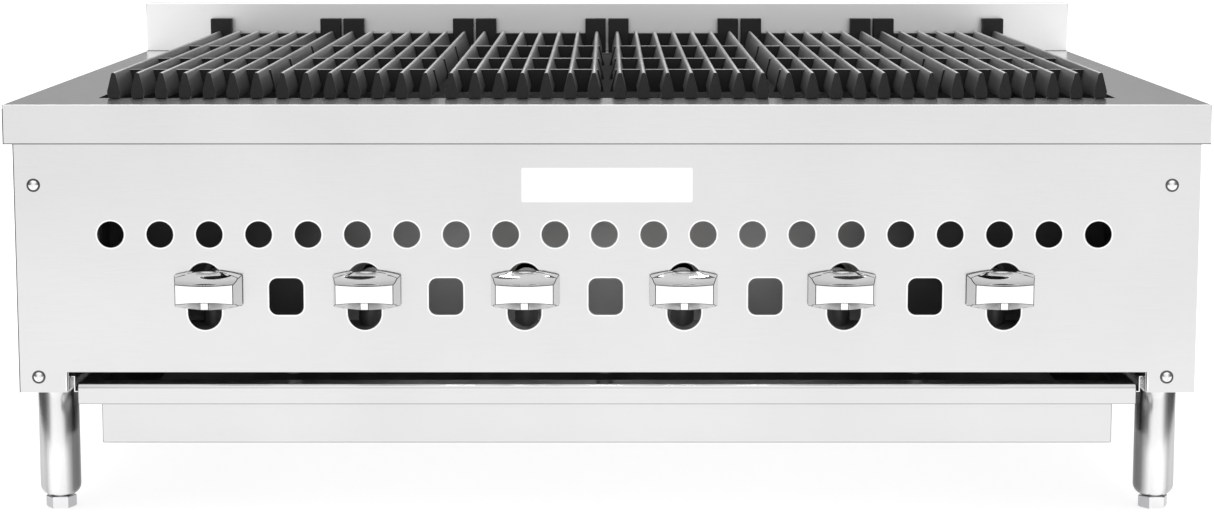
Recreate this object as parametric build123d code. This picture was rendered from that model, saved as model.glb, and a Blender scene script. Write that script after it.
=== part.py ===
from build123d import *
import math
import os

# A countertop gas charbroiler with six burners, modelled as the pieces it is assembled from.
# Millimetres, X to the right, Y to the back, Z up from the floor. The modelling functions count
# Y from the deck's front edge; write() moves each piece so that Y = 0 is mid-depth overall.

os.makedirs("parts", exist_ok=True)

# Overall sizes
WIDTH = 914.4
DEPTH = 685.8
DECK_Z = 323.8
SPLASH_H = 47.2
SPLASH_T = 30.0
LEG_H = 102.1
INLET_REACH = 38.0

# Sheet thicknesses
DECK_T = 1.5
SKIN_T = 1.2
LINER_T = 1.5

# Deck: a shallow lid with turned-down edges, hemmed back to the body
FASCIA_H = 30.0
FRONT_GAP = 5.0
SIDE_GAP = 6.2
EDGE_R = 0.9
WELL_X = 396.0
WELL_Y0 = 64.0
WELL_Y1 = 622.0

# Body
HALF = WIDTH / 2
BODY_X = HALF - SIDE_GAP
BODY_Y0 = FRONT_GAP
BODY_Y1 = DEPTH - FRONT_GAP
NOTCH_X = 414.3
NOTCH_Z = DECK_Z - 205.9
CHANNEL_H = 16.0
FLANGE_W = 30.0

# Front panel openings. The vents, slots and gas train sit a little left of centre.
ROW_X = -2.0
PORT_ROW_X = -1.0
VENTS = 21
VENT_PITCH = 37.63
VENT_R = 10.2
VENT_Z = DECK_Z - 99.4
SLOT_PITCH = 122.2
SLOT_W = 25.9
SLOT_H = 52.0
SLOT_Z = DECK_Z - 147.1
PORT_PITCH = 122.0
PORT_W = 26.3
PORT_H = 28.4
PORT_R = 6.5
PORT_Z = DECK_Z - 147.2
LEFT_SCREW_X = 436.0
RIGHT_SCREW_X = 429.5
SCREW_ZS = (DECK_Z - 61.7, DECK_Z - 209.7)
SCREW_R = 2.4
SCREW_HEAD_R = 4.6
SCREW_HEAD_H = 2.4
BADGE_W = 130.0
BADGE_H = 26.4
BADGE_T = 0.6
BADGE_Z = DECK_Z - 61.4

# Rear panel louvres
LOUVRES = 8
LOUVRE_PITCH = 98.0
LOUVRE_W = 70.0
LOUVRE_H = 7.0
LOUVRE_ZS = (DECK_Z - 60, DECK_Z - 80, DECK_Z - 100)

# Burners, valves and knobs share one spacing and one height
BURNERS = 6
BURNER_PITCH = 120.9
VALVE_Z = DECK_Z - 142.0
FIT = 0.05
BODY_GAP = 0.3

# Knob: a pinched bar on a flat back
KNOB_BACK_Y = 2.0
KNOB_D = 23.0
KNOB_W = 52.0
KNOB_END_H = 23.5
KNOB_MID_H = 31.0
KNOB_TAPER = 4.0
KNOB_WAIST_H = 13.2
KNOB_SWEEP_R = 200.0
KNOB_RIB_W = 6.5
KNOB_RIB_H = 6.0
KNOB_RIB_Y = -9.0
SCOOP_R = 34.0
STEM_R = 4.0
STEM_DEPTH_IN_KNOB = 14.0

# Gas train
PIPE_R = 13.335
PIPE_WALL = 2.87
MANIFOLD_Y = 36.0
MANIFOLD_Z = 140.0
MANIFOLD_X0 = -335.0
SUPPLY_X = 424.0
ELBOW_R = 40.0
BOSS_R = 9.0
BOSS_TOP = 167.0
INLET_HOLE_R = 15.0
THREAD_R = 13.1
THREAD_L = 20.0

# Valves and hoods on the manifold
VALVE_HALF_L = 13.0
VALVE_BODY_R = 11.0
BONNET_R = 8.0
BONNET_L = 7.0
SPIGOT_R = 6.0
SPIGOT_L = 5.0
HOOD_HEX_R = 8.0
HOOD_HEX_L = 14.0
HOOD_TIP_R = 4.5
ORIFICE_R = 0.9
STEM_FLAT = 1.4

# Pilots
PILOT_TUBE_R = 3.2
PILOT_TUBE_Z = 118.5
PILOT_VALVE_TOP = 124.0
PILOT_VALVE_R = 6.5
PILOT_NUT_R = 5.0
PILOT_NUT_L = 14.0
PILOT_Y = 118.0
PILOT_BEND = 14.0
PILOT_BASE_Z = 192.0
PILOT_BARREL_H = 16.0

# Firebox liner: its front and back step in below the radiants to make a ledge
LEDGE_Z = 232.0
LINER_BOTTOM = 128.0
STEP_FRONT_Y = 100.0
STEP_REAR_Y = 590.0

# Tubular burner
TUBE_R = 12.7
TUBE_WALL = 1.5
TUBE_Y0 = 78.0
TUBE_Y1 = 585.0
BURNER_HOLE_R = 16.0
PIN_R = 4.0
SHUTTER_R = 15.0
FLAME_SLOTS = 22
FLAME_SLOT_PITCH = 21.0
FLAME_SLOT_W = 2.0

# Radiants: slotted cast-iron roofs
RADIANT_W = 118.0
RADIANT_RIDGE_W = 30.0
RADIANT_H = 48.0
RADIANT_WALL = 6.0
RADIANT_CLEAR = 2.0
RADIANT_SLOTS = 9
RADIANT_SLOT_PITCH = 54.0
RADIANT_SLOT_X = 38.0
RADIANT_SLOT_W = 26.0
RADIANT_SLOT_L = 22.0

# Grates
GRATES = 6
GRATE_PITCH = 131.0
BARS = 7
BAR_PITCH = 18.5
BAR_H = 20.0
BAR_TOP_W = 3.2
BAR_WIDE_W = 10.3
BAR_WIDE_Z = 5.0
BAR_FOOT_W = 8.5
GRATE_Y0 = 58.5
GRATE_Y1 = 648.0
WEB_YS = (125.0, 262.0, 435.0, 646.0)
WEB_T = 3.0
WEB_H = 18.0
WEB_FOOT_HALF = 63.2
WEB_TOP_HALF = 58.8
LUG_W = 20.0
LUG_T = 12.0
LUG_H = 32.4
LUG_GAP = 2.7
LUG_Y1 = 655.2

# Drip tray and its rails
TRAY_HALF = 389.0
TRAY_Y0 = 10.0
TRAY_Y1 = 610.0
TRAY_FLOOR_Z = DECK_Z - 261.9
TRAY_RIM_Z = DECK_Z - 212.9
RIM_HALF = 403.4
LIP_Y0 = -10.0
LIP_Z = DECK_Z - 228.0
LIP_BEND_R = 3.0
RIM_DROP = 7.7
RAIL_X = 410.0
RAIL_Z0 = DECK_Z - 222.7
RAIL_Z1 = DECK_Z - 210.0
RAIL_FOOT_X = 398.0
RAIL_Y0 = 12.0
RAIL_Y1 = 640.0

# Legs and adjustable feet
LEG_X = 432.4
LEG_INSET = 60.0
LEG_R = 15.875
LEG_WALL = 1.6
LEG_PLUG_H = 34.0
LEG_NOSE_R = 9.0
FOOT_H = 10.0
FOOT_FLATS = 20.5
FOOT_TURN = 7.0
FOOT_CHAMFER = 1.2
FOOT_STUD_R = 6.0
FOOT_STUD_H = 40.0
LEG_STUD_R = 6.0

KNOB_FRONT_Y = KNOB_BACK_Y - KNOB_D
MID_Y = (KNOB_FRONT_Y + DEPTH + INLET_REACH) / 2


def write(shape, name):
    export_step(Pos(0, -MID_Y, 0) * shape, f"parts/{name}.step")


def block(x0, x1, y0, y1, z0, z1):
    place = Pos((x0 + x1) / 2, (y0 + y1) / 2, (z0 + z1) / 2)
    return place * Box(abs(x1 - x0), abs(y1 - y0), abs(z1 - z0))


def rod_y(x, z, y0, y1, radius):
    return Pos(x, (y0 + y1) / 2, z) * Rot(90, 0, 0) * Cylinder(radius, abs(y1 - y0))


def rod_x(y, z, x0, x1, radius):
    return Pos((x0 + x1) / 2, y, z) * Rot(0, 90, 0) * Cylinder(radius, abs(x1 - x0))


def rod_z(x, y, z0, z1, radius):
    return Pos(x, y, (z0 + z1) / 2) * Cylinder(radius, abs(z1 - z0))


def row(count, pitch, middle=0.0):
    return [middle + (i - (count - 1) / 2) * pitch for i in range(count)]


def mirror_x(shape):
    return mirror(shape, about=Plane.YZ)


def through_front(sketch, z):
    """A cutter that carries a sketch, drawn in X and Z about height z, through the front skin."""
    return extrude(Pos(0, BODY_Y0 - 2, z) * Rot(90, 0, 0) * sketch, amount=-8)


# ---------------------------------------------------------------- deck and body

def top_deck():
    outer = block(-HALF, HALF, 0, DEPTH, DECK_Z - FASCIA_H, DECK_Z)
    outer = fillet(outer.edges().filter_by(Axis.Z), EDGE_R)
    outer = fillet(outer.faces().sort_by(Axis.Z)[-1].edges(), EDGE_R)
    under = DECK_Z - DECK_T
    hem = DECK_Z - FASCIA_H + DECK_T
    inside = block(-HALF + DECK_T, HALF - DECK_T, DECK_T, DEPTH - DECK_T, hem, under)
    body_gap = block(-BODY_X, BODY_X, BODY_Y0, BODY_Y1, DECK_Z - FASCIA_H - 1, hem + 1)
    well = block(-WELL_X, WELL_X, WELL_Y0, WELL_Y1, under - 1, DECK_Z + 1)
    return outer - inside - body_gap - well


def backsplash():
    front = DEPTH - SPLASH_T
    outer = block(-HALF, HALF, front, DEPTH, DECK_Z, DECK_Z + SPLASH_H)
    outer = fillet(outer.edges().filter_by(Axis.Z), EDGE_R)
    outer = fillet(outer.faces().sort_by(Axis.Z)[-1].edges(), EDGE_R)
    top = DECK_Z + SPLASH_H - DECK_T
    inside = block(-HALF + DECK_T, HALF - DECK_T, front + DECK_T, DEPTH - DECK_T, DECK_Z - 1, top)
    return outer - inside


def screw_places():
    return [(x, z) for x in (-LEFT_SCREW_X, RIGHT_SCREW_X) for z in SCREW_ZS]


def front_panel():
    panel = block(-BODY_X, BODY_X, BODY_Y0, BODY_Y0 + SKIN_T, LEG_H, DECK_Z - DECK_T)
    panel -= block(-NOTCH_X, NOTCH_X, 0, 10, LEG_H - 1, NOTCH_Z)
    for x in row(VENTS, VENT_PITCH, ROW_X):
        panel -= rod_y(x, VENT_Z, 0, 10, VENT_R)
    for x in row(BURNERS, SLOT_PITCH, ROW_X):
        obround = Pos(x, 0) * SlotOverall(SLOT_H, SLOT_W, rotation=90)
        panel -= through_front(obround, SLOT_Z)
    for x in row(BURNERS - 1, PORT_PITCH, PORT_ROW_X):
        port = Pos(x, 0) * RectangleRounded(PORT_W, PORT_H, PORT_R)
        panel -= through_front(port, PORT_Z)
    for x, z in screw_places():
        panel -= rod_y(x, z, 0, 10, SCREW_R + FIT)
    return panel


def side_panel(screw_x, supply_hole):
    """The right-hand side: a channel with flanges for the front and rear panels."""
    inner = BODY_X - SKIN_T
    front = BODY_Y0 + SKIN_T
    top = DECK_Z - DECK_T
    wall = block(inner, BODY_X, front, BODY_Y1, LEG_H, top)
    flange = block(inner - FLANGE_W, inner, front, front + SKIN_T, LEG_H, top)
    floor = block(NOTCH_X - SKIN_T, inner, front, BODY_Y1, LEG_H, LEG_H + SKIN_T)
    upturn = block(NOTCH_X - SKIN_T, NOTCH_X, front, BODY_Y1, LEG_H, LEG_H + CHANNEL_H)
    rear_flange_y = BODY_Y1 - SKIN_T
    rear_flange = block(inner - FLANGE_W, inner, rear_flange_y - SKIN_T, rear_flange_y, LEG_H, top)
    panel = wall + flange + floor + upturn + rear_flange
    for z in SCREW_ZS:
        panel -= rod_y(screw_x, z, 0, 20, SCREW_R + FIT)
    for y in (LEG_INSET, DEPTH - LEG_INSET):
        panel -= rod_z(LEG_X, y, LEG_H - 1, LEG_H + 5, LEG_STUD_R + FIT)
    if supply_hole:
        panel -= rod_y(SUPPLY_X, MANIFOLD_Z, BODY_Y1 - 10, BODY_Y1 + 1, INLET_HOLE_R)
    return panel


def rear_panel():
    inner = BODY_X - SKIN_T
    bottom = LEG_H + CHANNEL_H
    panel = block(-inner, inner, BODY_Y1 - SKIN_T, BODY_Y1, bottom, DECK_Z - DECK_T)
    panel -= rod_y(SUPPLY_X, MANIFOLD_Z, BODY_Y1 - 5, BODY_Y1 + 5, INLET_HOLE_R)
    for x in row(LOUVRES, LOUVRE_PITCH):
        for z in LOUVRE_ZS:
            slot = Pos(x, BODY_Y1 + 2, z) * Rot(90, 0, 0) * SlotOverall(LOUVRE_W, LOUVRE_H)
            panel -= extrude(slot, amount=8)
    return panel


def panel_screws():
    screws = []
    for x, z in screw_places():
        shank = rod_y(x, z, BODY_Y0, BODY_Y0 + 4, SCREW_R)
        dome_r = (SCREW_HEAD_R ** 2 + SCREW_HEAD_H ** 2) / (2 * SCREW_HEAD_H)
        ball = Pos(x, BODY_Y0 - SCREW_HEAD_H + dome_r, z) * Sphere(dome_r)
        head = rod_y(x, z, BODY_Y0 - SCREW_HEAD_H - 1, BODY_Y0, SCREW_HEAD_R) & ball
        recess_a = block(x - 2.2, x + 2.2, BODY_Y0 - 4, BODY_Y0 - 1.2, z - 0.4, z + 0.4)
        recess_b = block(x - 0.4, x + 0.4, BODY_Y0 - 4, BODY_Y0 - 1.2, z - 2.2, z + 2.2)
        screws.append(head + shank - recess_a - recess_b)
    return Compound(children=screws)


def badge_plate():
    plate = block(-BADGE_W / 2, BADGE_W / 2, BODY_Y0 - BADGE_T, BODY_Y0,
                  BADGE_Z - BADGE_H / 2, BADGE_Z + BADGE_H / 2)
    return fillet(plate.edges().filter_by(Axis.Y), 1.5)


# ---------------------------------------------------------------- firebox liner

def firebox_front_wall():
    top = DECK_Z - DECK_T
    half = WELL_X
    upper = block(-half, half, WELL_Y0 - LINER_T, WELL_Y0, LEDGE_Z - LINER_T, top)
    ledge = block(-half, half, WELL_Y0 - LINER_T, STEP_FRONT_Y, LEDGE_Z - LINER_T, LEDGE_Z)
    lower = block(-half, half, STEP_FRONT_Y - LINER_T, STEP_FRONT_Y, LINER_BOTTOM, LEDGE_Z)
    wall = upper + ledge + lower
    for x in burner_xs():
        wall -= rod_y(x, VALVE_Z, STEP_FRONT_Y - 5, STEP_FRONT_Y + 5, TUBE_R + FIT)
    return wall


def firebox_rear_wall():
    top = DECK_Z - DECK_T
    half = WELL_X
    upper = block(-half, half, WELL_Y1, WELL_Y1 + LINER_T, LEDGE_Z - LINER_T, top)
    ledge = block(-half, half, STEP_REAR_Y, WELL_Y1 + LINER_T, LEDGE_Z - LINER_T, LEDGE_Z)
    lower = block(-half, half, STEP_REAR_Y, STEP_REAR_Y + LINER_T, LINER_BOTTOM, LEDGE_Z)
    wall = upper + ledge + lower
    for x in burner_xs():
        wall -= rod_y(x, VALVE_Z, STEP_REAR_Y - 5, STEP_REAR_Y + 5, PIN_R + FIT)
    return wall


def firebox_right_wall():
    y0 = WELL_Y0 - LINER_T
    y1 = WELL_Y1 + LINER_T
    return block(WELL_X, WELL_X + LINER_T, y0, y1, LINER_BOTTOM, DECK_Z - DECK_T)


# ---------------------------------------------------------------- gas train

def burner_xs():
    return row(BURNERS, BURNER_PITCH, ROW_X)


def pilot_xs():
    """One pilot stands between each pair of burners."""
    return row(BURNERS // 2, 2 * BURNER_PITCH, ROW_X)


def manifold_pipe():
    end = SUPPLY_X - ELBOW_R
    pipe = rod_x(MANIFOLD_Y, MANIFOLD_Z, MANIFOLD_X0, end, PIPE_R)
    for x in burner_xs():
        pipe += rod_z(x, MANIFOLD_Y, MANIFOLD_Z, BOSS_TOP, BOSS_R)
    for x in pilot_xs():
        pipe += rod_z(x, MANIFOLD_Y, PILOT_VALVE_TOP, MANIFOLD_Z, BOSS_R)
    pipe -= rod_x(MANIFOLD_Y, MANIFOLD_Z, MANIFOLD_X0 + 6, end + 1, PIPE_R - PIPE_WALL)
    for x in burner_xs():
        pipe -= rod_z(x, MANIFOLD_Y, MANIFOLD_Z, BOSS_TOP + 1, BOSS_R - 4)
    for x in pilot_xs():
        pipe -= rod_z(x, MANIFOLD_Y, PILOT_VALVE_TOP - 1, MANIFOLD_Z, BOSS_R - 4)
    return pipe


def gas_inlet_pipe():
    bend_y = MANIFOLD_Y + ELBOW_R
    ring = Circle(PIPE_R) - Circle(PIPE_R - PIPE_WALL)
    end_face = Pos(SUPPLY_X, bend_y, MANIFOLD_Z) * Rot(90, 0, 0) * ring
    pivot = Axis((SUPPLY_X - ELBOW_R, bend_y, MANIFOLD_Z), (0, 0, -1))
    elbow = revolve(end_face, pivot, 90)
    end = DEPTH + INLET_REACH
    run = rod_y(SUPPLY_X, MANIFOLD_Z, bend_y, end - THREAD_L, PIPE_R)
    run += rod_y(SUPPLY_X, MANIFOLD_Z, end - THREAD_L, end, THREAD_R)
    run -= rod_y(SUPPLY_X, MANIFOLD_Z, bend_y - 1, end + 1, PIPE_R - PIPE_WALL)
    return elbow + run


def gas_valves():
    valves = []
    front = MANIFOLD_Y - VALVE_HALF_L
    back = MANIFOLD_Y + VALVE_HALF_L
    for x in burner_xs():
        body = rod_y(x, VALVE_Z, front, back, VALVE_BODY_R)
        bonnet = rod_y(x, VALVE_Z, front - BONNET_L, front, BONNET_R)
        neck = rod_z(x, MANIFOLD_Y, BOSS_TOP, VALVE_Z, BOSS_R)
        spigot = rod_y(x, VALVE_Z, back, back + SPIGOT_L, SPIGOT_R)
        stem_bore = rod_y(x, VALVE_Z, front - BONNET_L - 1, MANIFOLD_Y + 4, STEM_R + FIT)
        valves.append(body + bonnet + neck + spigot - stem_bore)
    return Compound(children=valves)


def orifice_hoods():
    hoods = []
    start = MANIFOLD_Y + VALVE_HALF_L + SPIGOT_L
    for x in burner_xs():
        flats = Pos(x, start, VALVE_Z) * Rot(90, 0, 0) * RegularPolygon(HOOD_HEX_R, 6)
        tip = rod_y(x, VALVE_Z, start + HOOD_HEX_L, TUBE_Y0 + 6, HOOD_TIP_R)
        hood = extrude(flats, amount=-HOOD_HEX_L) + tip
        hoods.append(hood - rod_y(x, VALVE_Z, start - 1, TUBE_Y0 + 7, ORIFICE_R))
    return Compound(children=hoods)


def valve_stem(x):
    inner = MANIFOLD_Y + 3.5
    tip = KNOB_BACK_Y - STEM_DEPTH_IN_KNOB
    stem = rod_y(x, VALVE_Z, tip, inner, STEM_R)
    flat = block(x - 5, x + 5, tip - 1, 8, VALVE_Z + STEM_R - STEM_FLAT, VALVE_Z + STEM_R + 1)
    return stem - flat


def pilot_valves():
    valves = []
    for x in pilot_xs():
        body = rod_z(x, MANIFOLD_Y, PILOT_TUBE_Z - 6, PILOT_VALVE_TOP, PILOT_VALVE_R)
        screw = rod_y(x, PILOT_TUBE_Z, MANIFOLD_Y - 12, MANIFOLD_Y, 3)
        nut = rod_y(x, PILOT_TUBE_Z, MANIFOLD_Y, MANIFOLD_Y + PILOT_NUT_L, PILOT_NUT_R)
        valves.append(body + screw + nut)
    return Compound(children=valves)


def pilot_tubing():
    tubes = []
    turn_y = PILOT_Y - PILOT_BEND
    for x in pilot_xs():
        run = rod_y(x, PILOT_TUBE_Z, MANIFOLD_Y + PILOT_NUT_L, turn_y, PILOT_TUBE_R)
        face = Pos(x, turn_y, PILOT_TUBE_Z) * Rot(90, 0, 0) * Circle(PILOT_TUBE_R)
        pivot = Axis((x, turn_y, PILOT_TUBE_Z + PILOT_BEND), (1, 0, 0))
        riser = rod_z(x, PILOT_Y, PILOT_TUBE_Z + PILOT_BEND, PILOT_BASE_Z, PILOT_TUBE_R)
        tubes.append(run + revolve(face, pivot, 90) + riser)
    return Compound(children=tubes)


def pilot_burners():
    burners = []
    base = PILOT_BASE_Z
    for x in pilot_xs():
        top = base + PILOT_BARREL_H
        barrel = rod_z(x, PILOT_Y, base, top, 5)
        hood = block(x - 7, x + 7, PILOT_Y - 6, PILOT_Y + 6, top, top + 2)
        arm = block(x - 6, x + 6, STEP_FRONT_Y, PILOT_Y - 4, base + 4, base + 6)
        plate = block(x - 6, x + 6, STEP_FRONT_Y, STEP_FRONT_Y + 1.5, base + 4, base + 20)
        burners.append(barrel + hood + arm + plate)
    return Compound(children=burners)


def burner(x):
    tube = rod_y(x, VALVE_Z, TUBE_Y0, TUBE_Y1, TUBE_R)
    tube -= rod_y(x, VALVE_Z, TUBE_Y0 - 1, TUBE_Y1 - 3, TUBE_R - TUBE_WALL)
    tube += rod_y(x, VALVE_Z, TUBE_Y1, STEP_REAR_Y + 8, PIN_R)
    for y in row(FLAME_SLOTS, FLAME_SLOT_PITCH, (STEP_FRONT_Y + TUBE_Y1) / 2):
        half = FLAME_SLOT_W / 2
        tube -= block(x - 20, x + 20, y - half, y + half, VALVE_Z + 4, VALVE_Z + 8)
    tube -= block(x - 20, x + 20, TUBE_Y0 + 6, TUBE_Y0 + 16, VALVE_Z - 5, VALVE_Z + 5)
    return tube


def air_shutters():
    shutters = []
    for x in burner_xs():
        ring = rod_y(x, VALVE_Z, TUBE_Y0 + 2, STEP_FRONT_Y - LINER_T, SHUTTER_R)
        ring -= rod_y(x, VALVE_Z, TUBE_Y0 + 1, STEP_FRONT_Y, TUBE_R + FIT)
        window = block(x - 20, x + 20, TUBE_Y0 + 7, TUBE_Y0 + 15, VALVE_Z - 4, VALVE_Z + 9)
        shutters.append(ring - window)
    return Compound(children=shutters)


def radiant(x):
    y0 = WELL_Y0 + RADIANT_CLEAR
    y1 = WELL_Y1 - RADIANT_CLEAR
    half = RADIANT_W / 2
    ridge = RADIANT_RIDGE_W / 2
    inner = half - 1.2 * RADIANT_WALL
    top = LEDGE_Z + RADIANT_H
    outline = Polyline((half, LEDGE_Z), (ridge, top), (-ridge, top), (-half, LEDGE_Z),
                       (-inner, LEDGE_Z), (-ridge + 1, top - RADIANT_WALL),
                       (ridge - 1, top - RADIANT_WALL), (inner, LEDGE_Z), close=True)
    section = Pos(x, y0, 0) * Rot(90, 0, 0) * make_face(outline)
    roof = extrude(section, amount=-(y1 - y0))
    for y in row(RADIANT_SLOTS, RADIANT_SLOT_PITCH, (y0 + y1) / 2):
        for side in (-1, 1):
            centre = Pos(x + side * RADIANT_SLOT_X, y, LEDGE_Z + RADIANT_H / 2)
            roof -= centre * Box(RADIANT_SLOT_W, RADIANT_SLOT_L, RADIANT_H)
    return roof


# ---------------------------------------------------------------- grates

def grate_bar(x):
    foot = DECK_Z + BODY_GAP
    top = foot + BAR_H
    soft = 1.0
    right = [(BAR_FOOT_W / 2, 0), (BAR_WIDE_W / 2, BAR_WIDE_Z),
             (BAR_TOP_W / 2, BAR_H - soft), (BAR_TOP_W / 2 - soft, BAR_H)]
    left = [(-px, pz) for px, pz in reversed(right)]
    outline = make_face(Polyline(*right, *left, close=True))
    section = Pos(x, GRATE_Y0, top - BAR_H) * Rot(90, 0, 0) * outline
    return extrude(section, amount=-(GRATE_Y1 - GRATE_Y0))


def grate_web(x, y):
    foot = DECK_Z + BODY_GAP
    outline = make_face(Polyline((WEB_FOOT_HALF, 0), (WEB_TOP_HALF, WEB_H),
                                 (-WEB_TOP_HALF, WEB_H), (-WEB_FOOT_HALF, 0), close=True))
    section = Pos(x, y - WEB_T / 2, foot) * Rot(90, 0, 0) * outline
    return extrude(section, amount=-WEB_T)


def grate(x):
    foot = DECK_Z + BODY_GAP
    section = grate_bar(x + row(BARS, BAR_PITCH)[0])
    for offset in row(BARS, BAR_PITCH)[1:]:
        section += grate_bar(x + offset)
    for y in WEB_YS:
        section += grate_web(x, y)
    outer = (GRATE_PITCH - LUG_GAP) / 2
    for side in (-1, 1):
        lug = block(x + side * (outer - LUG_W), x + side * outer, LUG_Y1 - LUG_T, LUG_Y1,
                    foot, DECK_Z + LUG_H)
        section += lug
    return section


# ---------------------------------------------------------------- drip tray and rails

def top_front_edge(shape):
    return shape.edges().filter_by(Axis.X).group_by(Axis.Z)[-1].sort_by(Axis.Y)[0]


def drip_tray():
    t = SKIN_T
    pan = block(-TRAY_HALF, TRAY_HALF, TRAY_Y0, TRAY_Y1, TRAY_FLOOR_Z, TRAY_RIM_Z)
    pan -= block(-TRAY_HALF + t, TRAY_HALF - t, TRAY_Y0 + t, TRAY_Y1 - t,
                 TRAY_FLOOR_Z + t, TRAY_RIM_Z + 1)
    lip = block(-RIM_HALF, RIM_HALF, LIP_Y0, TRAY_Y0, LIP_Z, TRAY_RIM_Z)
    under = block(-RIM_HALF - 1, RIM_HALF + 1, LIP_Y0 + t, TRAY_Y0 + 1, LIP_Z - 1, TRAY_RIM_Z - t)
    lip = fillet(top_front_edge(lip), LIP_BEND_R) - fillet(top_front_edge(under), LIP_BEND_R - t)
    tray = pan + lip
    for side in (-1, 1):
        tray += block(side * TRAY_HALF, side * RIM_HALF, TRAY_Y0, TRAY_Y1, TRAY_RIM_Z - t, TRAY_RIM_Z)
        tray += block(side * (RIM_HALF - t), side * RIM_HALF, TRAY_Y0, TRAY_Y1,
                      TRAY_RIM_Z - RIM_DROP, TRAY_RIM_Z)
    return tray


def tray_rail_right():
    t = SKIN_T
    web = block(RAIL_X - t / 2, RAIL_X + t / 2, RAIL_Y0, RAIL_Y1, RAIL_Z0, RAIL_Z1)
    foot = block(RAIL_FOOT_X, RAIL_X - t / 2, RAIL_Y0, RAIL_Y1, RAIL_Z0, RAIL_Z0 + t)
    tab = block(RAIL_X + t / 2, NOTCH_X - SKIN_T, RAIL_Y0, RAIL_Y1, RAIL_Z1 - t, RAIL_Z1)
    return web + foot + tab


# ---------------------------------------------------------------- legs and feet

def leg(x, y):
    inner_r = LEG_R - LEG_WALL
    plug_top = FOOT_H + LEG_PLUG_H
    bore_r = FOOT_STUD_R + FIT
    half_section = make_face([
        Line((bore_r, FOOT_H), (LEG_R - LEG_NOSE_R, FOOT_H)),
        CenterArc((LEG_R - LEG_NOSE_R, FOOT_H + LEG_NOSE_R), LEG_NOSE_R, 270, 90),
        Polyline((LEG_R, FOOT_H + LEG_NOSE_R), (LEG_R, LEG_H), (0, LEG_H), (0, LEG_H - 4),
                 (inner_r, LEG_H - 4), (inner_r, plug_top), (bore_r, plug_top), (bore_r, FOOT_H)),
    ])
    tube = revolve(Rot(90, 0, 0) * half_section, Axis.Z, 360)
    stud = rod_z(0, 0, LEG_H, LEG_H + 14, LEG_STUD_R)
    return Pos(x, y, 0) * (tube + stud)


def foot(x, y):
    outline = Rot(0, 0, FOOT_TURN) * RegularPolygon(FOOT_FLATS / 2, 6, major_radius=False)
    hexagon = extrude(outline, amount=FOOT_H - BODY_GAP)
    hexagon = chamfer(hexagon.faces().sort_by(Axis.Z)[0].edges(), FOOT_CHAMFER)
    hexagon = chamfer(hexagon.faces().sort_by(Axis.Z)[-1].edges(), FOOT_CHAMFER / 2)
    stud = rod_z(0, 0, FOOT_H - 1, FOOT_H + FOOT_STUD_H, FOOT_STUD_R)
    return Pos(x, y, 0) * (hexagon + stud)


# ---------------------------------------------------------------- knobs

def knob(x):
    """A chrome bar that tapers to the front, scooped above and below into a waist."""
    rise = (KNOB_MID_H - KNOB_END_H) / 2
    half = KNOB_W / 2
    end = KNOB_END_H / 2
    crown = end + rise
    back_face = make_face([
        ThreePointArc((half, end), (0, crown), (-half, end)),
        Line((-half, end), (-half, -end)),
        ThreePointArc((-half, -end), (0, -crown), (half, -end)),
        Line((half, -end), (half, end)),
    ])
    slant = math.degrees(math.atan(KNOB_TAPER / KNOB_D))
    bar = extrude(back_face, amount=KNOB_D, taper=slant)
    scoop_axis = KNOB_WAIST_H / 2 + KNOB_SWEEP_R
    for side in (-1, 1):
        scoop = Pos(0, side * scoop_axis, KNOB_D) * Torus(KNOB_SWEEP_R - SCOOP_R, SCOOP_R)
        bar -= scoop
    rib = Pos(0, KNOB_RIB_Y, KNOB_D / 2) * Box(KNOB_RIB_W, KNOB_RIB_H, KNOB_D - 2)
    bar += rib
    bar -= Cylinder(STEM_R + FIT, 2 * STEM_DEPTH_IN_KNOB + 1)
    return Pos(x, KNOB_BACK_Y, VALVE_Z) * Rot(90, 0, 0) * bar


# ---------------------------------------------------------------- write every piece

write(top_deck(), "top_deck")
write(backsplash(), "backsplash")
write(front_panel(), "front_panel")
write(side_panel(RIGHT_SCREW_X, True), "side_panel_right")
write(mirror_x(side_panel(LEFT_SCREW_X, False)), "side_panel_left")
write(rear_panel(), "rear_panel")
write(panel_screws(), "panel_screws")
write(badge_plate(), "badge_plate")
write(firebox_front_wall(), "firebox_front_wall")
write(firebox_rear_wall(), "firebox_rear_wall")
write(firebox_right_wall(), "firebox_right_wall")
write(mirror_x(firebox_right_wall()), "firebox_left_wall")
write(manifold_pipe(), "manifold_pipe")
write(gas_inlet_pipe(), "gas_inlet_pipe")
write(gas_valves(), "gas_valves")
write(orifice_hoods(), "orifice_hoods")
write(pilot_valves(), "pilot_valves")
write(pilot_tubing(), "pilot_tubing")
write(pilot_burners(), "pilot_burners")
write(air_shutters(), "air_shutters")
write(drip_tray(), "drip_tray")
write(Compound(children=[tray_rail_right(), mirror_x(tray_rail_right())]), "tray_rails")

for number, x in enumerate(burner_xs(), start=1):
    write(burner(x), f"burner_{number}")
    write(radiant(x), f"radiant_{number}")
    write(valve_stem(x), f"valve_stem_{number}")
    write(knob(x), f"knob_{number}")

for number, x in enumerate(row(GRATES, GRATE_PITCH), start=1):
    write(grate(x), f"grate_{number}")

for end_name, y in (("front", LEG_INSET), ("rear", DEPTH - LEG_INSET)):
    for side_name, x in (("left", -LEG_X), ("right", LEG_X)):
        write(leg(x, y), f"leg_{end_name}_{side_name}")
        write(foot(x, y), f"foot_{end_name}_{side_name}")
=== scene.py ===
import math

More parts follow.
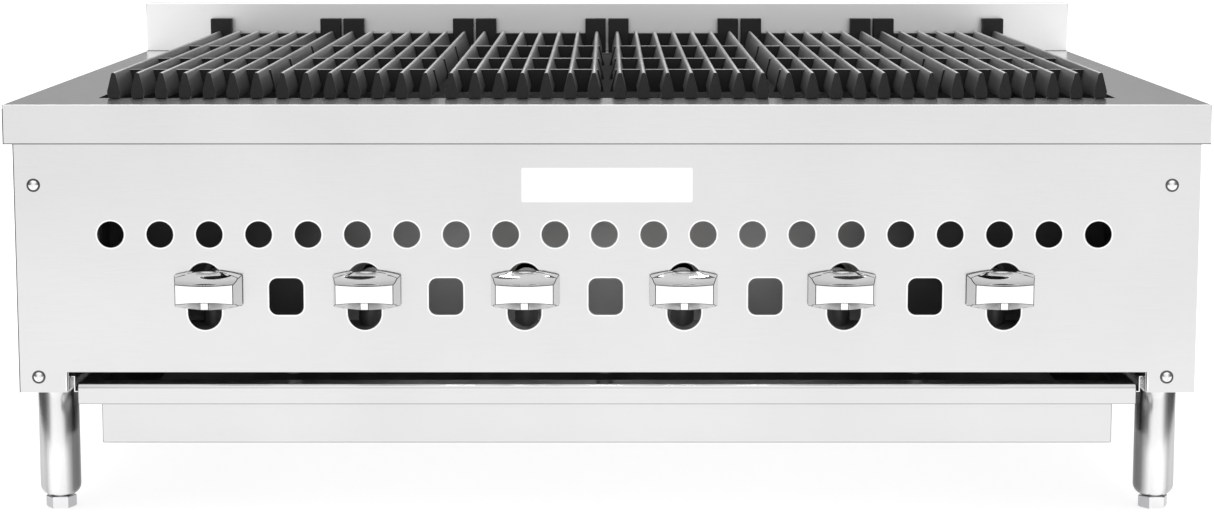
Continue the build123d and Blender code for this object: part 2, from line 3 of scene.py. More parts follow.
import bmesh
import bpy
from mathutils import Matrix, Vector


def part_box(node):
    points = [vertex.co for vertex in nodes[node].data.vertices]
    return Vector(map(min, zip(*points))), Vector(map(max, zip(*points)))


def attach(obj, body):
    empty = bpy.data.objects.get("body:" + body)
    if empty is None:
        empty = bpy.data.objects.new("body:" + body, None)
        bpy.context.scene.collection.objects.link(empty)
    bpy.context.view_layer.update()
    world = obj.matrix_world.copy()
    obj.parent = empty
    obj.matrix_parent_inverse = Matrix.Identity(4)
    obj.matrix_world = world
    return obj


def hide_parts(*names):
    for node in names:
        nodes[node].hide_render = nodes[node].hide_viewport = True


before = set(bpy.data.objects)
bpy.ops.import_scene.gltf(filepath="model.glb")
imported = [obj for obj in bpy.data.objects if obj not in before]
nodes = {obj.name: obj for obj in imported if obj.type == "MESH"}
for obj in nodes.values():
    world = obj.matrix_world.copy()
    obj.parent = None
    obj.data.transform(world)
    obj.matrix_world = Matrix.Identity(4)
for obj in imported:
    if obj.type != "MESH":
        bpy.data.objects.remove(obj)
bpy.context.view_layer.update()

MM = 0.001

TUBE_RADIUS = 15.875 * MM
ROW_X = -2.0 * MM                   # vents and knob slots sit left of the panel's middle
PORT_ROW_X = -1.0 * MM
VENT_COUNT, VENT_PITCH, VENT_DROP, VENT_RADIUS = 21, 37.63 * MM, 99.4 * MM, 10.2 * MM
SLOT_COUNT, SLOT_PITCH, SLOT_DROP, SLOT_HALF = 6, 122.2 * MM, 147.1 * MM, (12.95 * MM, 26 * MM)
PORT_COUNT, PORT_PITCH, PORT_DROP, PORT_HALF = 5, 122 * MM, 147.2 * MM, (13.15 * MM, 14.2 * MM)
PORT_CORNER = 6.5 * MM
NOTCH_DROP, NOTCH_HALF = 205.9 * MM, 414.3 * MM
SCREW_XS, SCREW_DROPS = (-436.0 * MM, 429.5 * MM), (61.7 * MM, 209.7 * MM)
EDGE_WIDTH = 0.45 * MM              # how wide a sheet's edge or a casting's corner is softened


# ---------------------------------------------------------------- material helpers

def new_material(name):
    material = bpy.data.materials.new(name)
    material.use_nodes = True
    tree = material.node_tree
    return material, tree, tree.nodes["Principled BSDF"]


def link(tree, a, output, b, socket):
    tree.links.new(a.outputs[output], b.inputs[socket])


def stretched_noise(tree, stretch, scale, detail=3.0):
    """Noise in object space, drawn out along the axes whose stretch is small."""
    coords = tree.nodes.new("ShaderNodeTexCoord")
    mapping = tree.nodes.new("ShaderNodeMapping")
    mapping.inputs["Scale"].default_value = stretch
    noise = tree.nodes.new("ShaderNodeTexNoise")
    noise.inputs["Scale"].default_value = scale
    noise.inputs["Detail"].default_value = detail
    link(tree, coords, "Object", mapping, "Vector")
    link(tree, mapping, "Vector", noise, "Vector")
    return noise


def span(tree, source, low, high, from_low=0.3, from_high=0.7):
    """Maps a texture's value onto a range."""
    node = tree.nodes.new("ShaderNodeMapRange")
    node.inputs["From Min"].default_value = from_low
    node.inputs["From Max"].default_value = from_high
    node.inputs["To Min"].default_value = low
    node.inputs["To Max"].default_value = high
    tree.links.new(source, node.inputs["Value"])
    return node


def smooth_range(tree, source, given, wanted):
    """Maps the given pair onto the wanted pair, easing in and out."""
    node = tree.nodes.new("ShaderNodeMapRange")
    node.interpolation_type = "SMOOTHSTEP"
    node.inputs["From Min"].default_value, node.inputs["From Max"].default_value = given
    node.inputs["To Min"].default_value, node.inputs["To Max"].default_value = wanted
    tree.links.new(source, node.inputs["Value"])
    return node


def axes(tree, space="Object"):
    """The X, Y and Z outputs of a point in the object's own space, or of the world's direction."""
    coords = tree.nodes.new("ShaderNodeTexCoord")
    parts = tree.nodes.new("ShaderNodeSeparateXYZ")
    link(tree, coords, space, parts, "Vector")
    return parts.outputs


def math_node(tree, operation, *values):
    node = tree.nodes.new("ShaderNodeMath")
    node.operation = operation
    for socket, value in zip(node.inputs, values):
        tree.links.new(value, socket)
    return node.outputs["Value"]


def two_tone(tree, factor, dark, light):
    ramp = tree.nodes.new("ShaderNodeValToRGB")
    ramp.color_ramp.elements[0].color = (*dark, 1)
    ramp.color_ramp.elements[1].color = (*light, 1)
    ramp.color_ramp.elements[0].position = 0.3
    ramp.color_ramp.elements[1].position = 0.7
    tree.links.new(factor, ramp.inputs["Fac"])
    return ramp


def bump(tree, height, strength, distance, after=None):
    node = tree.nodes.new("ShaderNodeBump")
    node.inputs["Strength"].default_value = strength
    node.inputs["Distance"].default_value = distance
    tree.links.new(height, node.inputs["Height"])
    if after is not None:
        tree.links.new(after.outputs["Normal"], node.inputs["Normal"])
    return node


def brushed(name, dark, light, rough, grain=(0.02, 1.0, 1.0), strength=0.05):
    """Brushed sheet: fine scratches along one axis over a faint broad mottle."""
    material, tree, shader = new_material(name)
    scratches = stretched_noise(tree, grain, 2600.0, 4.0)
    mottle = stretched_noise(tree, (1, 1, 1), 9.0, 2.0)
    colour = two_tone(tree, mottle.outputs["Fac"], dark, light)
    tree.links.new(colour.outputs["Color"], shader.inputs["Base Color"])
    roughness = span(tree, scratches.outputs["Fac"], rough - 0.04, rough + 0.05)
    tree.links.new(roughness.outputs["Result"], shader.inputs["Roughness"])
    shader.inputs["Metallic"].default_value = 1.0
    lines = bump(tree, scratches.outputs["Fac"], strength, 0.00002)
    tree.links.new(lines.outputs["Normal"], shader.inputs["Normal"])
    return material


def shaded_towards_ends(name, dark, light, rough):
    """Dull sheet, darker towards both ends of its length: painted shade that stands in for the dimmer
    light there.
    """
    material = brushed(name, dark, light, rough)
    tree = material.node_tree
    shader = tree.nodes["Principled BSDF"]
    across = math_node(tree, "ABSOLUTE", axes(tree)["X"])
    # painted shade: the base colour is multiplied down towards both ends
    end_shade = smooth_range(tree, across, (0.17, 0.25), (1.0, 0.28))
    mix = tree.nodes.new("ShaderNodeMix")
    mix.data_type = "RGBA"
    mix.blend_type = "MULTIPLY"
    mix.inputs[0].default_value = 1.0
    tree.links.new(shader.inputs["Base Color"].links[0].from_socket, mix.inputs[6])
    tree.links.new(end_shade.outputs["Result"], mix.inputs[7])
    tree.links.new(mix.outputs[2], shader.inputs["Base Color"])
    return material


def streaked_tube(name, side, rough):
    """Polished tube. Its light and dark bands are colours that stand in for a workshop's
    reflections, darkest towards the appliance; side is -1 on the left and 1 on the right."""
    material, tree, shader = new_material(name)
    reach = side * TUBE_RADIUS
    across = tree.nodes.new("ShaderNodeMapRange")
    across.inputs["From Min"].default_value = -reach
    across.inputs["From Max"].default_value = reach
    tree.links.new(axes(tree)["X"], across.inputs["Value"])
    ramp = tree.nodes.new("ShaderNodeValToRGB")
    stops = ((0.0, 0.14), (0.12, 0.20), (0.20, 0.50), (0.30, 0.86), (0.60, 0.95), (0.68, 0.74),
             (0.76, 0.46), (0.86, 0.52), (0.95, 0.40), (1.0, 0.30))
    while len(ramp.color_ramp.elements) < len(stops):
        ramp.color_ramp.elements.new(0.5)
    for element, (place, tone) in zip(ramp.color_ramp.elements, stops):
        element.position = place
        element.color = (tone, tone, tone, 1)
    tree.links.new(across.outputs["Result"], ramp.inputs["Fac"])
    tree.links.new(ramp.outputs["Color"], shader.inputs["Base Color"])
    marks = stretched_noise(tree, (1, 1, 0.02), 1500.0, 3.0)
    roughness = span(tree, marks.outputs["Fac"], rough - 0.04, rough + 0.06)
    tree.links.new(roughness.outputs["Result"], shader.inputs["Roughness"])
    shader.inputs["Metallic"].default_value = 1.0
    return material


def cast(name, dark, light, rough, metallic, grit=0.25):
    """Cast iron: sandy pits over slow colour drift."""
    material, tree, shader = new_material(name)
    drift = stretched_noise(tree, (1, 1, 1), 22.0, 4.0)
    grains = stretched_noise(tree, (1, 1, 1), 900.0, 3.0)
    colour = two_tone(tree, drift.outputs["Fac"], dark, light)
    tree.links.new(colour.outputs["Color"], shader.inputs["Base Color"])
    roughness = span(tree, grains.outputs["Fac"], rough - 0.06, rough + 0.08)
    tree.links.new(roughness.outputs["Result"], shader.inputs["Roughness"])
    shader.inputs["Metallic"].default_value = metallic
    pits = bump(tree, grains.outputs["Fac"], grit, 0.0002)
    tree.links.new(pits.outputs["Normal"], shader.inputs["Normal"])
    return material


def plated(name, colour, rough):
    """Bright plating with a faint orange-peel."""
    material, tree, shader = new_material(name)
    peel = stretched_noise(tree, (1, 1, 1), 120.0, 2.0)
    tone = two_tone(tree, peel.outputs["Fac"], [c * 0.97 for c in colour], colour)
    tree.links.new(tone.outputs["Color"], shader.inputs["Base Color"])
    roughness = span(tree, peel.outputs["Fac"], rough, rough + 0.03)
    tree.links.new(roughness.outputs["Result"], shader.inputs["Roughness"])
    shader.inputs["Metallic"].default_value = 1.0
    return material


STEEL = brushed("brushed_stainless", (0.67, 0.67, 0.67), (0.70, 0.70, 0.70), 0.20, strength=0.015)
SIDE_STEEL = brushed("brushed_stainless_side", (0.86, 0.86, 0.86), (0.89, 0.89, 0.89), 0.24,
                     (1, 0.02, 1), 0.015)
SPLASH_STEEL = brushed("brushed_splash", (0.88, 0.88, 0.88), (0.91, 0.91, 0.91), 0.34,
                       strength=0.015)
# painted shade: near-black colour for rounded edges, seam lines and screw recesses
EDGE_SHADE = brushed("painted_edge_shade", (0.08, 0.08, 0.08), (0.14, 0.14, 0.14), 0.35)
# painted highlight: near-white colour for the chamfers round the openings and the notch edges
RIM_HIGHLIGHT = brushed("rim_painted_highlight", (0.97, 0.97, 0.97), (0.99, 0.99, 0.99), 0.36)
DULL_STEEL = brushed("galvanised", (0.50, 0.51, 0.53), (0.62, 0.63, 0.65), 0.42)
# painted shade: the liner's colour darkens towards both ends
LINER = shaded_towards_ends("heat_dulled_liner", (0.46, 0.46, 0.46), (0.54, 0.54, 0.54), 0.5)
BURNER = brushed("burner_tube", (0.22, 0.21, 0.20), (0.34, 0.33, 0.32), 0.45, (1, 0.05, 1))
TUBES = {"left": streaked_tube("polished_tube_left", -1, 0.22),
         "right": streaked_tube("polished_tube_right", 1, 0.22)}
GRATE = cast("grate_iron", (0.12, 0.12, 0.121), (0.17, 0.17, 0.172), 0.38, 0.35)
# painted shade: near-black copy of the grate iron for faces turned to front and back
GRATE_SHADED_FACES = cast("grate_painted_shade_faces", (0.004, 0.004, 0.0042), (0.008, 0.008, 0.0084), 0.62, 0.0)
# scraped tops, and lighter also as a painted highlight from above
GRATE_TOP_SCRAPED_AND_LIT = cast("grate_scraped_tops_painted_highlight", (0.30, 0.30, 0.30), (0.42, 0.42, 0.42), 0.36, 0.8, 0.12)
RADIANT = cast("radiant_iron", (0.02, 0.02, 0.02), (0.04, 0.04, 0.04), 0.7, 0.2, 0.4)
CHROME = plated("knob_chrome", (0.93, 0.93, 0.93), 0.03)
# painted shade: darker copy of the knob chrome for the upper scoop and the ends
CHROME_SHADED = plated("knob_chrome_painted_shade", (0.66, 0.66, 0.66), 0.05)
# painted light: the shaded back is coloured brighter than the face so its reflection in the panel stays
# pale
CHROME_BACK_LIGHTENED = plated("knob_back_painted_light", (0.97, 0.97, 0.97), 0.4)
CHROME_SATIN = plated("knob_underside", (0.88, 0.88, 0.88), 0.42)
# painted reflection: near-black colour for the knobs' rounded edges, standing in for the dark they
# reflect
CHROME_EDGE_SHADE = plated("knob_painted_edge_shade", (0.04, 0.04, 0.04), 0.12)
ZINC = plated("zinc_plate", (0.86, 0.86, 0.87), 0.16)
# painted shade: darker copy of the zinc for the foot's faces turned sideways
ZINC_SHADED_SIDE = plated("zinc_painted_shade_side", (0.50, 0.50, 0.51), 0.22)
BRASS = plated("brass", (0.78, 0.60, 0.30), 0.25)
VALVE = cast("valve_casting", (0.34, 0.34, 0.34), (0.42, 0.42, 0.42), 0.45, 0.8, 0.15)
PIPE = cast("black_pipe", (0.07, 0.07, 0.07), (0.10, 0.10, 0.10), 0.5, 0.4)
PILOT = plated("pilot_tube", (0.30, 0.30, 0.31), 0.3)
# near-black colour for the inside of the drip tray's pan
PAN_INSIDE_DARK = cast("tray_inside_near_black", (0.015, 0.014, 0.013), (0.03, 0.028, 0.026), 0.5, 0.0, 0.2)
BADGE = brushed("blank_badge", (0.95, 0.95, 0.95), (0.98, 0.98, 0.98), 0.30)

MATERIALS = {
    "top_deck": STEEL, "backsplash": SPLASH_STEEL, "front_panel": STEEL, "drip_tray": STEEL,
    "side_panel": SIDE_STEEL, "tray_rails": SIDE_STEEL, "rear_panel": DULL_STEEL,
    "firebox": LINER, "burner": BURNER, "air_shutters": BURNER, "radiant": RADIANT,
    "grate": GRATE, "knob": CHROME, "valve_stem": VALVE, "gas_valves": VALVE,
    "orifice_hoods": BRASS, "pilot_valves": VALVE, "pilot_tubing": PILOT,
    "pilot_burners": PILOT, "manifold_pipe": PIPE, "gas_inlet_pipe": PIPE,
    "leg": TUBES["left"], "foot": ZINC, "panel_screws": ZINC, "badge_plate": BADGE,
}
# Parts whose sharp edges are rounded in painted shade, dark bevels that stand in for seam shadows and
# dark edge reflections.
EDGE_SHADED_PARTS = ("top_deck", "drip_tray", "side_panel", "tray_rails", "backsplash")


def paint_nodes():
    """Each CAD node takes the material of the longest prefix that starts its name."""
    for name, obj in nodes.items():
        prefix = max((p for p in MATERIALS if name.startswith(p)), key=len)
        obj.data.materials.clear()
        obj.data.materials.append(MATERIALS[prefix])
        # the rounded edges take the painted shade
        if prefix in EDGE_SHADED_PARTS:
            obj.data.materials.append(EDGE_SHADE)
            soften(obj, EDGE_WIDTH, slot=1)
        # the floor and inner walls of the pan take the near-black colour
        if name == "drip_tray":
            obj.data.materials.append(PAN_INSIDE_DARK)
            for face in obj.data.polygons:
                if is_tray_inside(face, *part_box(name)):
                    face.material_index = 2
        # painted shade: faces turned sideways take the darker zinc copy
        if prefix == "foot":
            obj.data.materials.append(ZINC_SHADED_SIDE)
            for face in obj.data.polygons:
                face.material_index = int(abs(face.normal.x) > 0.5)


def is_tray_inside(face, low, high):
    """The pan's floor and the inner faces of its walls, clear of the rim and the front lip."""
    x, y, z = face.center
    across, along, up = face.normal
    margin = 10 * MM
    middle_y = (low[1] + high[1]) / 2
    floor_face = up > 0.5 and z < low[2] + margin
    side_face = abs(across) > 0.5 and across * x < 0 and abs(x) < high[0] - margin
    end_face = abs(along) > 0.5 and along * (y - middle_y) < 0 and y > low[1] + margin
    return floor_face or side_face or end_face


def soften(obj, width, slot=-1, angle=40):
    """Joins split vertices, then rounds the sharp edges; slot is the rounding's material."""
    weld = obj.modifiers.new("joined", "WELD")
    weld.merge_threshold = 0.00001
    bevel = obj.modifiers.new("soft_edges", "BEVEL")
    bevel.width = width
    bevel.segments = 2
    bevel.limit_method = "ANGLE"
    bevel.angle_limit = math.radians(angle)
    bevel.material = slot


# ---------------------------------------------------------------- mesh helpers

def build(name, verts, faces, materials, body, stands_for=(), slots=None):
    """A mesh piece that rides on a body. slots gives each face's material."""
    mesh = bpy.data.meshes.new(name)
    mesh.from_pydata(verts, [], faces)
    for material in materials:
        mesh.materials.append(material)
    if slots:
        mesh.polygons.foreach_set("material_index", slots)
    fix = bmesh.new()
    fix.from_mesh(mesh)
    bmesh.ops.remove_doubles(fix, verts=fix.verts, dist=1e-6)
    bmesh.ops.recalc_face_normals(fix, faces=fix.faces)
    fix.to_mesh(mesh)
    fix.free()
    obj = bpy.data.objects.new(name, mesh)
    bpy.context.collection.objects.link(obj)
    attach(obj, body)
    if stands_for:
        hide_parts(*stands_for)
    return obj


def smooth(obj, angle=35):
    for polygon in obj.data.polygons:
        polygon.use_smooth = True
    obj.data.set_sharp_from_angle(angle=math.radians(angle))


def add(verts, faces, more_verts, more_faces):
    """Puts one closed mesh behind another in the same lists."""
    faces += [tuple(i + len(verts) for i in face) for face in more_faces]
    verts += more_verts


def box_mesh(low, high):
    (x0, y0, z0), (x1, y1, z1) = low, high
    verts = [(x, y, z) for x in (x0, x1) for y in (y0, y1) for z in (z0, z1)]
    faces = [(0, 1, 3, 2), (4, 6, 7, 5), (0, 4, 5, 1), (2, 3, 7, 6), (0, 2, 6, 4), (1, 5, 7, 3)]
    return verts, faces


def middle(node):
    low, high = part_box(node)
    return (Vector(low) + Vector(high)) / 2


# ---------------------------------------------------------------- knobs

def knob_mesh(width, height_mid, height_end, depth, taper, waist, sweep, scoop):
    """A bar with an arched top and bottom, tapered to the front and scooped into a waist.
    Local axes: x along the bar, y to the back, z up; the front face is at y = 0.
    Slots: 0 face and crown, 1 upper scoop and ends, 3 back, 4 lower scoop."""
    columns, land_rows, scoop_rows = 48, 1, 14
    crown = height_mid / 2
    rise = crown - height_end / 2
    arch = ((width / 2) ** 2 + rise ** 2) / (2 * rise)
    slope = taper / depth

    def crown_z(x, y):
        return crown - slope * (depth - y) - (arch - math.sqrt(arch ** 2 - x ** 2))

    def scoop_z(x, y):
        drop = scoop - math.sqrt(max(scoop ** 2 - y ** 2, 0))
        centre = waist / 2 + sweep
        return centre - math.sqrt((sweep - drop) ** 2 - x ** 2)

    def crease(x):
        """How far back the scoop runs before it meets the crown."""
        low, high = 0.0, depth
        for _ in range(40):
            mid = (low + high) / 2
            if scoop_z(x, mid) < crown_z(x, mid):
                low = mid
            else:
                high = mid
        return low

    verts, faces, slots = [], [], []
    rows = scoop_rows + land_rows
    for side in (1, -1):
        base = len(verts)
        for i in range(columns + 1):
            share = 2 * i / columns - 1
            fold = crease(share * (width / 2 - taper))
            for j in range(rows + 1):
                if j <= scoop_rows:
                    y = fold * j / scoop_rows
                else:
                    y = fold + (depth - fold) * (j - scoop_rows) / land_rows
                x = share * (width / 2 - slope * (depth - y))
                z = scoop_z(x, y) if j < scoop_rows else crown_z(x, y)
                verts.append((x, y, side * z))
        for i in range(columns):
            for j in range(rows):
                a = base + i * (rows + 1) + j
                faces.append((a, a + 1, a + rows + 2, a + rows + 1))
                slots.append(0 if j >= scoop_rows else 1 if side > 0 else 4)
    low = (columns + 1) * (rows + 1)
    for j in (0, rows):
        rim = [i * (rows + 1) + j for i in range(columns + 1)]
        faces.append(tuple(rim + [low + a for a in reversed(rim)]))
        slots.append(0 if j == 0 else 3)
    for i in (0, columns):
        rim = [i * (rows + 1) + j for j in range(rows + 1)]
        faces.append(tuple(rim + [low + a for a in reversed(rim)]))
        slots.append(1)
    return verts, faces, slots


KNOB = {"width": 52 * MM, "height_mid": 31 * MM, "height_end": 23.5 * MM, "depth": 23 * MM,
        "taper": 4 * MM, "waist": 13.2 * MM, "sweep": 200 * MM, "scoop": 30 * MM}
RIB = ((-3.25 * MM, 1 * MM, -12 * MM), (3.25 * MM, 22 * MM, -6 * MM))
# slot 1 is painted shade, slot 2 a painted dark outline on the rounded edges, slot 3 a back lightened
# as painted light
KNOB_MATERIALS = [CHROME, CHROME_SHADED, CHROME_EDGE_SHADE, CHROME_BACK_LIGHTENED, CHROME_SATIN]


def knobs():
    """Six bar knobs, each with a pointer rib under its front face."""
    for number in range(1, 7):
        low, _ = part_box(f"knob_{number}")
        x, _, z = middle(f"knob_{number}")
        verts, faces, slots = knob_mesh(**KNOB)
        rib_verts, rib_faces = box_mesh(*RIB)
        add(verts, faces, rib_verts, rib_faces)
        slots += [0] * 6
        placed = [(x + px, low[1] + py, z + pz) for px, py, pz in verts]
        obj = build(f"knob_bar_{number}", placed, faces, KNOB_MATERIALS, f"knob_{number}",
                    [f"knob_{number}"], slots)
        # the rounded edges take the painted dark outline
        soften(obj, 0.5 * MM, slot=2, angle=18)
        smooth(obj, 16)


# ---------------------------------------------------------------- grates

BAR_COUNT, BAR_PITCH = 7, 18.5 * MM
WEB_YS = (66.5 * MM, 203.5 * MM, 376.5 * MM, 587.5 * MM)
LUG_WIDTH, LUG_DEPTH = 20 * MM, 12 * MM


def grate_pieces():
    """Six castings of tapered bars, cross webs and two rear lugs, which run past the bars."""
    for number in range(1, 7):
        node = f"grate_{number}"
        low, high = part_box(node)
        x_mid = (low[0] + high[0]) / 2
        foot = low[2]
        verts, faces, slots = [], [], []
        for k in range(BAR_COUNT):
            x = x_mid + (k - (BAR_COUNT - 1) / 2) * BAR_PITCH
            add_bar(verts, faces, slots, x, low[1], high[1] - 7.2 * MM, foot)
        for y in WEB_YS:
            add_web(verts, faces, slots, x_mid, low[1] + y, foot)
        for x0, x1 in ((low[0], low[0] + LUG_WIDTH), (high[0] - LUG_WIDTH, high[0])):
            add(verts, faces, *box_mesh((x0, high[1] - LUG_DEPTH, foot), (x1, high[1], high[2])))
            slots += [1] * 6
        # slot 1 is painted shade on bar ends, web faces and feet and the lugs; slot 2 the lighter tops
        obj = build(f"grate_casting_{number}", verts, faces, [GRATE, GRATE_SHADED_FACES, GRATE_TOP_SCRAPED_AND_LIT], node,
                    [node], slots)
        soften(obj, EDGE_WIDTH, angle=25)
        smooth(obj, 30)


def add_bar(verts, faces, slots, x, y0, y1, foot):
    """One tapered bar with a rounded top edge; y0 and y1 are its ends."""
    half = [(4.25, 0), (5.15, 5.0), (1.6, 18.9), (1.1, 19.7), (0.0, 20.0)]
    ring = half + [(-px, pz) for px, pz in reversed(half[:-1])]
    base = len(verts)
    for y in (y0, y1):
        verts.extend((x + px * MM, y, foot + pz * MM) for px, pz in ring)
    count = len(ring)
    for i in range(count):
        j = (i + 1) % count
        faces.append((base + i, base + j, base + count + j, base + count + i))
        # faces along the top take the scraped tops with painted highlight
        slots.append(2 if min(ring[i][1], ring[j][1]) > 18 else 0)
    faces.append(tuple(base + i for i in range(count)))
    faces.append(tuple(base + count + i for i in range(count)))
    slots += [1, 1]


def add_web(verts, faces, slots, x, y, foot):
    """One cross web, a little narrower at the top than at the foot."""
    foot_half, top_half, height, thick = 63.2 * MM, 58.8 * MM, 18 * MM, 1.5 * MM
    base = len(verts)
    for side in (-1, 1):
        verts.extend([(x - foot_half, y + side * thick, foot), (x + foot_half, y + side * thick, foot),
                      (x + top_half, y + side * thick, foot + height),
                      (x - top_half, y + side * thick, foot + height)])
    for quad, slot in (((0, 1, 2, 3), 1), ((4, 5, 6, 7), 1), ((0, 1, 5, 4), 1), ((3, 2, 6, 7), 2),
                       ((1, 2, 6, 5), 0), ((0, 3, 7, 4), 0)):
        faces.append(tuple(base + i for i in quad))
        slots.append(slot)


# ---------------------------------------------------------------- legs and feet

def spin_mesh(profile, sides):
    """A closed solid of revolution about Z from (radius, z) points, foot first."""
    verts, faces = [], []
    for radius, z in profile:
        for k in range(sides):
            turn = 2 * math.pi * k / sides
            verts.append((radius * math.cos(turn), radius * math.sin(turn), z))
    for row in range(len(profile) - 1):
        for k in range(sides):
            a, b = row * sides + k, row * sides + (k + 1) % sides
            faces.append((a, b, b + sides, a + sides))
    faces.append(tuple(range(sides)))
    faces.append(tuple((len(profile) - 1) * sides + k for k in range(sides)))
    return verts, faces


def legs():
    """Four tubes whose lower ends are rolled in to the foot."""
    for end in ("front", "rear"):
        for side in ("left", "right"):
            node = f"leg_{end}_{side}"
            low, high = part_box(node)
            place = middle(node)
            radius, nose = TUBE_RADIUS, 9 * MM
            top = high[2] - 14 * MM
            profile = [(radius - nose - 0.5 * MM, low[2])]
            for step in range(9):
                turn = math.radians(-90 + 90 * step / 8)
                profile.append((radius - nose + nose * math.cos(turn),
                                low[2] + nose + nose * math.sin(turn)))
            profile += [(radius, top - 0.4 * MM), (radius - 0.3 * MM, top)]
            verts, faces = spin_mesh(profile, 96)
            obj = build(f"leg_tube_{end}_{side}", verts, faces, [TUBES[side]], "chassis")
            obj.location = (place[0], place[1], 0)
            smooth(obj, 50)
            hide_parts(node)


# ---------------------------------------------------------------- rims of the panel openings

def ring_piece(loop, y, inner_out, outer_out):
    """A thin chamfer that follows a closed outline of (x, z, nx, nz) points on a sheet at y.
    inner_out and outer_out are how far it reaches out from the outline, in millimetres."""
    verts, faces = [], []
    count = len(loop)
    for offset, depth in ((0, 0.7), (0.05, 0.1), (inner_out, -0.12), (outer_out, 0.02)):
        verts += [(x + nx * offset * MM, y + depth * MM, z + nz * offset * MM) for x, z, nx, nz in loop]
    for row in range(4):
        for k in range(count):
            a, b = row * count + k, row * count + (k + 1) % count
            above = (row + 1) % 4 * count
            faces.append((a, b, above + (k + 1) % count, above + k))
    return verts, faces


def rounded_loop(x, z, half_w, half_h, radius, steps=10):
    """Outline of a rounded rectangle; equal halves and radius give a circle or an obround."""
    loop = []
    for quarter, (sx, sz) in enumerate(((1, 1), (-1, 1), (-1, -1), (1, -1))):
        for k in range(steps + 1):
            turn = math.pi / 2 * (quarter + k / steps)
            nx, nz = math.cos(turn), math.sin(turn)
            loop.append((x + sx * (half_w - radius) + nx * radius,
                         z + sz * (half_h - radius) + nz * radius, nx, nz))
    return loop


def row(count, pitch, middle_x):
    return [middle_x + (k - (count - 1) / 2) * pitch for k in range(count)]


def rims():
    """A chamfer round every vent, knob slot and lighting port, coloured pale as a painted highlight."""
    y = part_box("front_panel")[0][1]
    deck_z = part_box("top_deck")[1][2]
    loops = [rounded_loop(x, deck_z - VENT_DROP, VENT_RADIUS, VENT_RADIUS, VENT_RADIUS)
             for x in row(VENT_COUNT, VENT_PITCH, ROW_X)]
    loops += [rounded_loop(x, deck_z - SLOT_DROP, *SLOT_HALF, SLOT_HALF[0])
              for x in row(SLOT_COUNT, SLOT_PITCH, ROW_X)]
    loops += [rounded_loop(x, deck_z - PORT_DROP, *PORT_HALF, PORT_CORNER)
              for x in row(PORT_COUNT, PORT_PITCH, PORT_ROW_X)]
    verts, faces = [], []
    for loop in loops:
        add(verts, faces, *ring_piece(loop, y, 0.4, 1.3))
    obj = build("panel_opening_rims", verts, faces, [RIM_HIGHLIGHT], "chassis")
    smooth(obj, 60)


def notch_edges():
    """The panel's rolled edges beside the tray opening, coloured pale as a painted highlight."""
    panel_low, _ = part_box("front_panel")
    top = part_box("top_deck")[1][2] - NOTCH_DROP
    y = panel_low[1]
    verts, faces = [], []
    for side in (-1, 1):
        inner, outer = sorted((side * NOTCH_HALF, side * (NOTCH_HALF + 1.3 * MM)))
        add(verts, faces, *box_mesh((inner, y - 0.15 * MM, panel_low[2] + 1.5 * MM),
                                    (outer, y + 0.6 * MM, top)))
    obj = build("notch_rolled_edges", verts, faces, [RIM_HIGHLIGHT], "chassis")
    soften(obj, 0.3 * MM)
    smooth(obj, 60)


def painted_seam_shade_lines():
    """Thin dark strips along the front sheets' left and lower edges: painted shade that stands in for
    the seam shadows there.
    """
    low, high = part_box("front_panel")
    deck_low, deck_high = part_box("top_deck")
    proud, sunk, wide = 0.12 * MM, 0.5 * MM, 0.7 * MM
    strips = (((low[0], low[1] - proud, low[2]), (low[0] + wide, low[1] + sunk, deck_low[2])),
              ((deck_low[0], deck_low[1] - proud, deck_low[2]),
               (deck_high[0], deck_low[1] + sunk, deck_low[2] + wide)),
              ((deck_low[0], deck_low[1] - proud, deck_low[2] + wide),
               (deck_low[0] + wide, deck_low[1] + sunk, deck_high[2] - 3 * MM)))
    verts, faces = [], []
    for near, far in strips:
        add(verts, faces, *box_mesh(near, far))
    obj = build("painted_seam_shade_lines", verts, faces, [EDGE_SHADE], "chassis")


def screw_shade_rings():
    """A dark undercut ring round each dome head: painted shade in the recess."""
    verts, faces = [], []
    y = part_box("front_panel")[0][1]
    deck_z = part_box("top_deck")[1][2]
    profile = [(4.1, -1.0), (4.5, -1.15), (5.0, -0.9), (5.2, 0.2), (4.1, 0.2)]
    sides, count = 40, len(profile)
    for x in SCREW_XS:
        for drop in SCREW_DROPS:
            base = len(verts)
            for k in range(sides):
                turn = 2 * math.pi * k / sides
                verts += [(x + radius * math.cos(turn) * MM, y + depth * MM,
                           deck_z - drop + radius * math.sin(turn) * MM) for radius, depth in profile]
            for k in range(sides):
                for j in range(count):
                    a, b = base + k * count, base + (k + 1) % sides * count
                    faces.append((a + j, b + j, b + (j + 1) % count, a + (j + 1) % count))
    obj = build("screw_painted_shade_rings", verts, faces, [EDGE_SHADE], "chassis")
    smooth(obj, 60)


paint_nodes()
knobs()
grate_pieces()
legs()
rims()
notch_edges()
painted_seam_shade_lines()
screw_shade_rings()


# ---------------------------------------------------------------- floor, light, camera

def floor():
    """One plain pale sheet with the same even glow all over."""
    mesh = bpy.data.meshes.new("floor")
    half = 30                       # metres, far past the camera's view
    mesh.from_pydata([(-half, -half, 0), (half, -half, 0), (half, half, 0), (-half, half, 0)], [],
                     [(0, 1, 2, 3)])
    obj = bpy.data.objects.new("floor", mesh)
    bpy.context.collection.objects.link(obj)
    material, _, shader = new_material("pale_floor")
    shader.inputs["Base Color"].default_value = (0.5, 0.5, 0.5, 1)
    shader.inputs["Roughness"].default_value = 1.0
    shader.inputs["Specular IOR Level"].default_value = 0.0
    shader.inputs["Emission Color"].default_value = (1, 1, 1, 1)
    shader.inputs["Emission Strength"].default_value = 0.72
    mesh.materials.append(material)


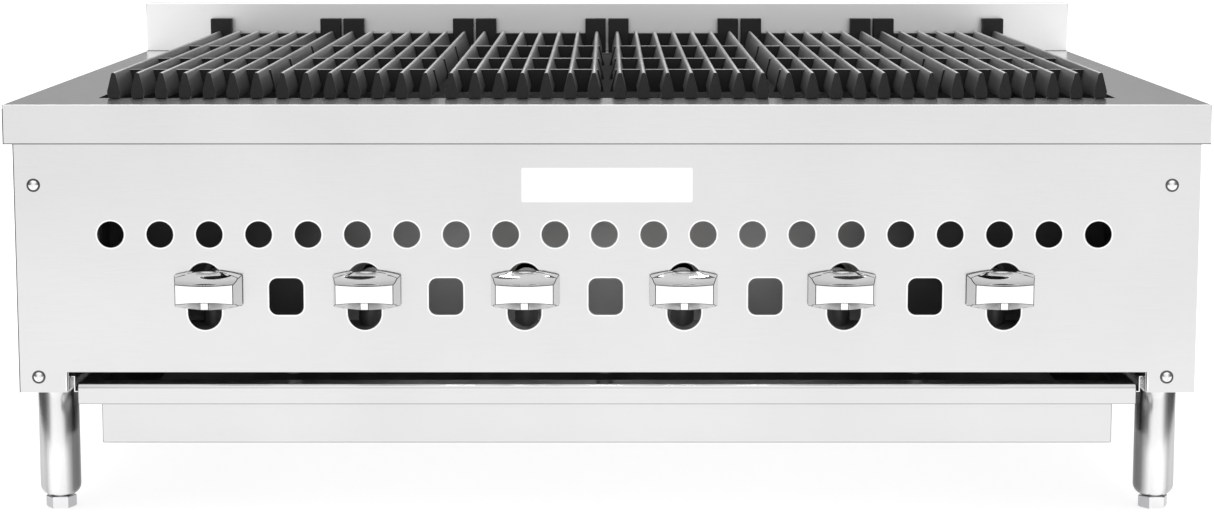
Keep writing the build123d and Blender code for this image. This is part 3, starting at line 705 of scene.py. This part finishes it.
def area_light(name, place, aim, size, power):
    data = bpy.data.lights.new(name, "AREA")
    data.shape = "RECTANGLE"
    data.size, data.size_y = size
    data.energy = power
    obj = bpy.data.objects.new(name, data)
    obj.location = place
    obj.rotation_euler = (Vector(aim) - Vector(place)).to_track_quat("-Z", "Y").to_euler()
    bpy.context.collection.objects.link(obj)


def studio():
    """A white world, brighter in front and overhead, a soft box behind and above, and a weak lamp
    inside the front cavity that lightens the middle openings."""
    world = bpy.data.worlds.new("studio")
    bpy.context.scene.world = world
    world.use_nodes = True
    tree = world.node_tree
    background = tree.nodes["Background"]
    direction = axes(tree, "Generated")
    front = smooth_range(tree, direction["Y"], (0.6, -1.0), (0.33, 1.0))
    aside = math_node(tree, "ABSOLUTE", direction["X"])
    sides = smooth_range(tree, aside, (0.35, 0.9), (1.0, 0.25))
    around = math_node(tree, "MULTIPLY", front.outputs["Result"], sides.outputs["Result"])
    overhead = smooth_range(tree, direction["Z"], (0.45, 0.95), (0.0, 0.6))
    strength = math_node(tree, "ADD", around, overhead.outputs["Result"])
    tree.links.new(strength, background.inputs["Strength"])
    background.inputs["Color"].default_value = (1, 1, 1, 1)
    area_light("top_box", (0, 2.6, 3.2), (0, 2.2, 0), (3.0, 4.0), 110)
    low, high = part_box("front_panel")
    area_light("vent_fill", (0, low[1] + 0.022, high[2] - 0.012), (0, low[1] + 0.058, high[2] - 0.10),
               (0.34, 0.02), 0.36)


def camera():
    """The fitted view: from in front of the deck and a little above it, tilted down."""
    low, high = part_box("top_deck")
    distance, height, tilt = 2.04726, 0.16789, 7.8738
    data = bpy.data.cameras.new("camera")
    data.sensor_width = 36
    data.lens = 80.56
    data.clip_end = 100
    obj = bpy.data.objects.new("camera", data)
    obj.location = (0, low[1] - distance, high[2] + height)
    obj.rotation_euler = (math.radians(90 - tilt), 0, 0)
    bpy.context.collection.objects.link(obj)
    bpy.context.scene.camera = obj


floor()
studio()
camera()
bpy.context.scene.view_settings.view_transform = "Standard"
